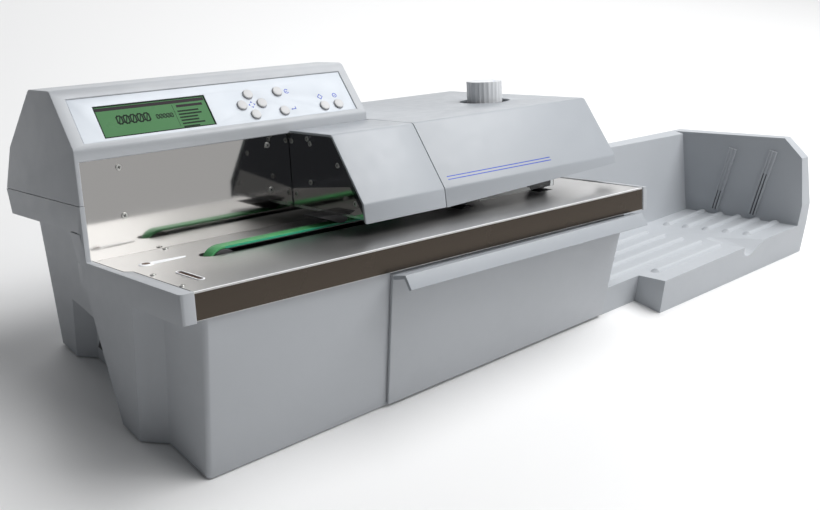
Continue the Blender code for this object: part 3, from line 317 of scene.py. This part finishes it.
def soften(node, width, angle=30, segments=3):
    """Rounds a CAD node's edges with modifiers; its own vertices stay as they are."""
    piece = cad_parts[node]
    weld = piece.modifiers.new("weld", "WELD")
    weld.merge_threshold = 0.00002
    flat = piece.modifiers.new("flat", "DECIMATE")
    flat.decimate_type = "DISSOLVE"
    flat.angle_limit = math.radians(1.0)
    edge = piece.modifiers.new("edge", "BEVEL")
    edge.width = width
    edge.segments = segments
    edge.limit_method = "ANGLE"
    edge.angle_limit = math.radians(angle)
    edge.use_clamp_overlap = True
    edge.harden_normals = True
    piece.data.shade_smooth()


def dress(node, mat, width=None, angle=30, segments=3):
    """Gives a CAD node its material, and rounded edges where a width is given."""
    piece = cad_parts[node]
    piece.data.materials.clear()
    piece.data.materials.append(MATS[mat])
    if width:
        soften(node, width, angle, segments)


def dress_all():
    looks = {
        "base_housing": ("housing", 0.0020), "head_housing": ("housing", 0.0014),
        "deck_end_cap": ("housing", 0.0012), "drawer_front": ("housing", 0.0010),
        "drawer_handle": ("cover", 0.0006), "feeder_cover": ("cover", 0.0010),
        "cutter_cover": ("cover", 0.0010), "output_tray": ("tray", None),
        "tray_rail_front": ("tray", 0.0006), "tray_rail_rear": ("tray", 0.0006),
        "deck_plate": ("steel", None), "registration_wall": ("mirror_steel", None),
        "fence_plate": ("fence_steel", None), "keypad_panel": ("panel", 0.0003),
        "lcd_module": ("screen", None), "control_board": ("board", None),
        "clear_guard": ("clear", 0.0003), "feed_belt": ("belt", 0.0006),
        "feed_idle_pulley": ("black_plastic", 0.0005), "feed_drive_pulley": ("black_plastic", 0.0005),
        "retard_gate": ("black_plastic", 0.0006), "retard_pad": ("belt", 0.0006),
        "gate_pin": ("steel", None), "depth_knob": ("knob", 0.0009), "depth_shaft": ("steel", 0.0003),
        "chip_bin": ("black_plastic", 0.0008), "power_inlet": ("black_plastic", 0.0005),
        "power_switch": ("black_plastic", 0.0005), "power_supply": ("steel", 0.0008),
        "cutter_wheel": ("steel", None),
    }
    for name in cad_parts:
        if name.startswith("button_"):
            dress(name, "button", 0.0012, 40, 4)
        elif name.startswith(("drive_roller", "pinch_roller", "foot_")):
            dress(name, "black_rubber", 0.0008)
        elif name in looks:
            dress(name, *looks[name])
        else:
            dress(name, "dark_steel", 0.0004)


# ---- control head ---------------------------------------------------------------------------
def zero_digit(shape, corner, width, height, weight, frame, low):
    """A counter's zero: a narrow rounded loop with a slash."""
    cut = width * 0.28
    u, s = corner
    outer = [(u + cut, s), (u + width - cut, s), (u + width, s + cut), (u + width, s + height - cut),
             (u + width - cut, s + height), (u + cut, s + height), (u, s + height - cut), (u, s + cut)]
    for i in range(8):
        a, b = Vector(outer[i]), Vector(outer[(i + 1) % 8])
        stroke(shape, a, b, weight, frame, low)
    stroke(shape, Vector((u + cut, s + cut)), Vector((u + width - cut, s + height - cut)), weight * 0.8,
           frame, low)


def stroke(shape, a, b, weight, frame, low, high=None):
    """A straight printed line with square ends that reach half its weight past both points."""
    along = (b - a).normalized() * weight / 2
    side = Vector((-along.y, along.x))
    a, b = a - along, b + along
    if high is None:
        high = low + 0.00006
    prism(shape, [a + side, a - side, b - side, b + side], low, high, frame)


def display():
    """A matt field, a dark header and menu bars, and a counter that shows zeros."""
    (u0, s0), (u1, s1) = LCD
    inset = LCD_FRAME + 0.0001
    print_low, print_high = SCREEN_N + 0.00006, SCREEN_N + 0.00012
    mark = SCREEN_N + 0.00007
    menu_u = 0.1180
    shape = bmesh.new()
    prism(shape, rect((u0 + inset, s0 + inset), (u1 - inset, s1 - inset)), SCREEN_N,
          SCREEN_N + 0.00005, SLOPE)
    finish_mesh("lcd_field", shape, "screen", "base")
    shape = bmesh.new()
    prism(shape, rect((u0 + inset, s1 - 0.0062), (u1 - 0.0020, s1 - 0.0022)), print_low, print_high, SLOPE)
    prism(shape, rect((menu_u, s1 - 0.0118), (u1 - 0.0060, s1 - 0.0086)), print_low, print_high, SLOPE)
    finish_mesh("lcd_header", shape, "lcd_head", "base")
    shape = bmesh.new()
    for i in range(5):
        zero_digit(shape, (0.0452 + i * 0.0079, 0.0258), 0.0058, 0.0098, 0.0017, SLOPE, mark)
    for i in range(5):
        zero_digit(shape, (0.0905 + i * 0.0042, 0.0270), 0.0030, 0.0050, 0.0009, SLOPE, mark)
    stroke(shape, Vector((0.1135, s0 + 0.004)), Vector((0.1135, s1 - 0.008)), 0.0004, SLOPE, mark)
    finish_mesh("lcd_counter", shape, "lcd_dark", "base")
    shape = bmesh.new()
    for row in range(6):
        u = menu_u
        s = s1 - 0.0168 - row * 0.0040
        for _ in range(random.randint(7, 10)):
            wide = random.uniform(0.0014, 0.0026)
            stroke(shape, Vector((u, s)), Vector((u + wide, s)), 0.0019, SLOPE, mark)
            u += wide + 0.0008
    finish_mesh("lcd_menu_bars", shape, "lcd_dark", "base")
    shape = bmesh.new()
    for low, high in (((u0, s0), (u1, s0 + LCD_FRAME)), ((u0, s1 - LCD_FRAME), (u1, s1)),
                      ((u0, s0), (u0 + LCD_FRAME, s1)), ((u1 - LCD_FRAME, s0), (u1, s1))):
        prism(shape, rect(low, high), SCREEN_N, PANEL_N - 0.0001, SLOPE)
    finish_mesh("lcd_bezel", shape, "lcd_dark", "base")


def icons():
    """Plain signs printed beside the keys."""
    low, high = PANEL_N, PANEL_N + 0.00012
    line = 0.0010
    shape = bmesh.new()
    centre = Vector((0.2108, 0.0298))
    for i in range(4):
        way = Vector((math.cos(i * math.pi / 2), math.sin(i * math.pi / 2)))
        side = Vector((-way.y, way.x))
        tip = centre + way * 0.0046
        foot = centre + way * 0.0026
        prism(shape, [tip, foot + side * 0.0017, foot - side * 0.0017], low, high, SLOPE)
    finish_mesh("icon_arrows", shape, "ink", "base")
    marks = (("icon_back", (0.2638, 0.0423), 0.0032, 5.2), ("icon_stop", (0.3270, 0.0292), 0.0032, 6.3))
    for name, place, radius, sweep in marks:
        shape = bmesh.new()
        ring(shape, place, radius, radius - line, low, high, SLOPE, 0.6, sweep)
        u, v = place
        prism(shape, rect((u - 0.0013, v - line / 2), (u + 0.0013, v + line / 2)), low, high, SLOPE)
        finish_mesh(name, shape, "ink", "base")
    shape = bmesh.new()
    diamond = [Vector(point) for point in disc((0.3058, 0.0295), 0.0034, 4)]
    for i in range(4):
        stroke(shape, diamond[i], diamond[(i + 1) % 4], line, SLOPE, low, high)
    finish_mesh("icon_start", shape, "ink", "base")
    shape = bmesh.new()
    tail, bend, end = Vector((0.2602, 0.0174)), Vector((0.2656, 0.0174)), Vector((0.2656, 0.0200))
    stroke(shape, tail, bend, line, SLOPE, low, high)
    stroke(shape, bend, end, line, SLOPE, low, high)
    prism(shape, [(0.2590, 0.0174), (0.2612, 0.0186), (0.2612, 0.0162)], low, high, SLOPE)
    finish_mesh("icon_enter", shape, "ink", "base")


# ---- deck, walls and covers ---------------------------------------------------------------------
def deck_details():
    for i, place in enumerate(((0.0053, 0.0298), (0.0078, 0.0921), (0.0736, 0.1905))):
        screw("deck_screw_%d" % (i + 1), DECK, place, radius=SHEET_SCREW)
    for i, place in enumerate(((0.0335, 0.0940), (0.0342, 0.0423), (0.2174, 0.0941), (0.2180, 0.0423))):
        screw("wall_screw_%d" % (i + 1), WALL_FACE, place)
    sensor_slot()
    stop_pin()
    deck_edges()


def sensor_slot():
    """A raised rim round the sensor's slot in painted highlight, and a brown floor with painted shade in
    it.
    """
    low, high = SENSOR_SLOT
    radius = (high[0] - low[0]) / 2
    middle = low[0] + radius
    outer, inner = [], []
    half = 13
    for size, points in ((radius + 0.0005, outer), (radius - 0.0007, inner)):
        for i in range(2 * half):
            far_end = i < half
            turn = math.pi * (i if far_end else i - 1) / (half - 1)
            along = high[1] - radius if far_end else low[1] + radius
            points.append((middle + size * math.cos(turn), along + size * math.sin(turn)))
    shape = bmesh.new()
    for i in range(2 * half):
        j = (i + 1) % (2 * half)
        prism(shape, [outer[i], outer[j], inner[j], inner[i]], SKIN, 0.0007, DECK)
    bmesh.ops.remove_doubles(shape, verts=shape.verts, dist=0.00001)
    # painted highlight: the rim is drawn in near-white
    finish_mesh("sensor_slot_rim", shape, "sheen", "base")
    shape = bmesh.new()
    prism(shape, rect(low, high), -0.0010, -0.0007, DECK)
    # painted shade: a dark brown plate under the slot's opening
    finish_mesh("sensor_slot_depth", shape, "brown_shade", "base")


def stop_pin():
    """A teardrop pressed into the sheet in painted highlight, with painted shade for the hole at its round
    end.
    """
    here = DECK @ Matrix.Translation((*STOP_PIN, 0))
    shape = bmesh.new()
    lathe(shape, [(0.0078, SKIN), (0.0072, 0.0007), (0.0050, 0.0011), (0.0034, 0.0011), (0.0033, 0.0002)],
          here, 28)
    # painted highlight: the round end of the emboss in near-white
    finish_mesh("stop_pin_emboss", shape, "sheen", "base", 50)
    shape = bmesh.new()
    tail = [(0.0290, 0.1340), (0.0460, 0.1352), (0.0660, 0.1368), (0.0700, 0.1392), (0.0660, 0.1416),
            (0.0460, 0.1432), (0.0290, 0.1444)]
    prism(shape, tail, SKIN, 0.0007, DECK)
    # painted highlight: the teardrop's tail in near-white
    finish_mesh("stop_pin_tail", shape, "sheen", "base")
    shape = bmesh.new()
    lathe(shape, [(0.0046, 0.00110), (0.0046, 0.00114)], here)
    # painted shade: a dark disc laid over the pin's hole
    finish_mesh("stop_pin_hole_shade", shape, "brown_shade", "base")


def deck_edges():
    """A painted highlight along the rolled front edge, and the dark joint between the sheet and the left
    flange.
    """
    shape = bmesh.new()
    prism(shape, rect((APRON_LEFT, 0.0001), (APRON_RIGHT, 0.0018)), SKIN, 0.00030, DECK)
    # painted highlight: a flat near-white strip along the rolled front edge
    finish_mesh("deck_front_highlight", shape, "sheen", "base")
    shape = bmesh.new()
    joint = [Vector(point) for point in ((-0.0009, 0.0030), (-0.0009, 0.1168), (-0.0077, 0.1236),
                                         (-0.0077, 0.1960))]
    for low, high in zip(joint, joint[1:]):
        stroke(shape, low, high, 0.0009, DECK, FLANGE_TOP_W + 0.00001)
    finish_mesh("deck_left_gap", shape, "shadow", "base")


def fence_details():
    places = ((0.1599, 0.1001), (0.1548, 0.0948), (0.1914, 0.0957), (0.1043, 0.0742), (0.0761, 0.0341),
              (0.1583, 0.0502), (0.1893, 0.0338))
    for i, (v, w) in enumerate(places):
        screw("fence_screw_%d" % (i + 1), FENCE_FACE, (-v, w), radius=SHEET_SCREW)


def fence_lip():
    """The fence plate's bent lower edge in painted highlight, and above it a band of painted reflection of
    the deck.
    """
    top_w = 0.0210
    shape = bmesh.new()
    prism(shape, rect((-0.1940, FENCE_FOOT_W), (-0.0600, top_w)), SKIN, 0.00080, FENCE_FACE)
    # painted highlight: the bent edge in bright polished steel, far lighter than the plate
    finish_mesh("fence_lip", shape, "lip_highlight_steel", "base")
    shape = bmesh.new()
    band = [(-0.1955, top_w + 0.0001), (-0.0620, top_w + 0.0001), (-0.0840, 0.0520), (-0.1955, 0.0400)]
    prism(shape, band, SKIN, 0.00012, FENCE_FACE)
    # painted reflection: a band of mirror steel shaped like the deck's reflection in the plate
    finish_mesh("fence_lower_sheen", shape, "mirror_steel", "base")


def cover_lines():
    shape = bmesh.new()
    for s in (0.0135, 0.0096):
        prism(shape, rect((0.3750, s), (0.5480, s + 0.0012)), -SKIN, 0.00008, COVER_FACE)
    finish_mesh("cover_accent_lines", shape, "ink", "cutter_cover")


def knob_mark():
    shape = bmesh.new()
    here = DECK @ Matrix.Translation((*KNOB, KNOB_TOP_W))
    prism(shape, [(-0.0020, -0.0205), (0.0, -0.0165), (0.0020, -0.0205)], 0.00001, 0.00012, here)
    finish_mesh("knob_mark", shape, "ink", "depth_knob")


def belt_edge():
    """The brighter front edge of the belt's upper run."""
    shape = bmesh.new()
    here = DECK @ Matrix.Translation((0, FRONT_OF_BELT, 0)) @ Matrix.Rotation(math.pi / 2, 4, "X")
    prism(shape, rect((0.1060, 0.00455), (0.3300, 0.0069)), 0.0, 0.00012, here)
    finish_mesh("belt_front_edge", shape, "belt_edge", "base")


def apron_skin():
    """The folded front of the deck, drawn in a dark copy of the sheet's steel as painted shade."""
    shape = bmesh.new()
    prism(shape, rect((APRON_LEFT, -0.0274), (APRON_RIGHT, -0.0016)), SKIN, 0.00022,
          DECK @ Matrix.Rotation(math.pi / 2, 4, "X"))
    # painted shade: a dark skin over the folded front face
    finish_mesh("apron_skin", shape, "apron_shade_steel", "base")


def rail_grooves():
    """Dark strips of painted shade at the bottom of the tray rails' grooves, two to a rail."""
    rails = (("front", ((0.0302, 0.0385), (0.0200, 0.1430))),
             ("rear", ((0.0950, 0.0240), (0.0945, 0.0300), (0.0870, 0.1260))))
    half = 0.0011
    section = ((0.0016, -half), (0.0012, -half), (0.0012, half), (0.0016, half))
    for tag, path in rails:
        shape = bmesh.new()
        for offset in (-0.0024, 0.0024):
            rings = []
            for y, z in path:
                face = RAIL_FACE_X + END_LEAN * max(0.0, z - END_LEAN_Z)
                rings.append([shape.verts.new(MACHINE @ Vector((face - deep, y + offset + side, z)))
                              for deep, side in section])
            shape.faces.new(rings[0])
            shape.faces.new(rings[-1])
            for first, second in zip(rings, rings[1:]):
                for i in range(4):
                    j = (i + 1) % 4
                    shape.faces.new((first[i], first[j], second[j], second[i]))
        # painted shade: dark strips inside the rail's grooves
        finish_mesh("rail_groove_" + tag, shape, "groove_shade", "base")


# ---- studio -------------------------------------------------------------------------------------
def area(name, place, target, size, power, colour=(1, 1, 1)):
    light = bpy.data.lights.new(name, "AREA")
    light.shape = "RECTANGLE"
    light.size, light.size_y = size
    light.energy = power
    light.color = colour
    lamp = bpy.data.objects.new(name, light)
    bpy.context.collection.objects.link(lamp)
    lamp.location = place
    lamp.rotation_mode = "QUATERNION"
    lamp.rotation_quaternion = (Vector(target) - Vector(place)).to_track_quat("-Z", "Y")
    return lamp


def studio():
    mesh = bpy.data.meshes.new("floor")
    shape = bmesh.new()
    prism(shape, rect((-12, -12), (12, 12)), -0.02, 0.0, Matrix.Identity(4))
    shape.to_mesh(mesh)
    shape.free()
    floor = bpy.data.objects.new("floor", mesh)
    bpy.context.collection.objects.link(floor)
    made, _ = base_material("floor", (0.80, 0.80, 0.80), 0.7)
    mesh.materials.append(made)
    world = bpy.data.worlds.new("studio")
    bpy.context.scene.world = world
    world.use_nodes = True
    back = world.node_tree.nodes["Background"]
    back.inputs["Color"].default_value = (0.93, 0.96, 1.0, 1.0)
    back.inputs["Strength"].default_value = 0.14
    area("key", (1.1, -0.5, 2.4), (0.1, 0, 0.1), (2.4, 2.0), 95)
    area("back", (1.2, 3.2, 1.5), (0, 0, 0.2), (5.0, 2.0), 60)
    area("card", (2.4, -3.4, 0.8), (0.2, 0, 0.1), (4.4, 2.0), 11)
    area("fill", (0.5, -2.6, 1.9), (0.1, 0, 0.1), (1.2, 1.2), 15)
    bpy.context.scene.view_settings.view_transform = "Standard"


def camera():
    lens = bpy.data.cameras.new("camera")
    lens.lens = 48.99
    lens.sensor_width = 36.0
    lens.sensor_fit = "HORIZONTAL"
    lens.clip_start = 0.05
    lens.clip_end = 60
    eye = bpy.data.objects.new("camera", lens)
    bpy.context.collection.objects.link(eye)
    right = Vector((0.758816, -0.648923, 0.055650))
    up = Vector((0.245939, 0.364606, 0.898096))
    back = right.cross(up)
    turn = Matrix((right, up, back)).transposed().to_4x4()
    eye.matrix_world = Matrix.Translation(Vector((-0.454497, -0.794664, 0.698712)) + CENTRE) @ turn
    bpy.context.scene.camera = eye


random.seed(7)
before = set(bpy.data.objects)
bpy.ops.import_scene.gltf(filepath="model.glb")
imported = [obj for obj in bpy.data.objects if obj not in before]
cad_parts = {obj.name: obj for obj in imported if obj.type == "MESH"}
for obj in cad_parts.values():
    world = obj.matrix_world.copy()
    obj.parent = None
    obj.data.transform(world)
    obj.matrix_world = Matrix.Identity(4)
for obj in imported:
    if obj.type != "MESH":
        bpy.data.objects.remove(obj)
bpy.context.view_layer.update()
MATS = materials()
dress_all()
display()
icons()
deck_details()
fence_details()
fence_lip()
cover_lines()
knob_mark()
belt_edge()
apron_skin()
rail_grooves()
studio()
camera()
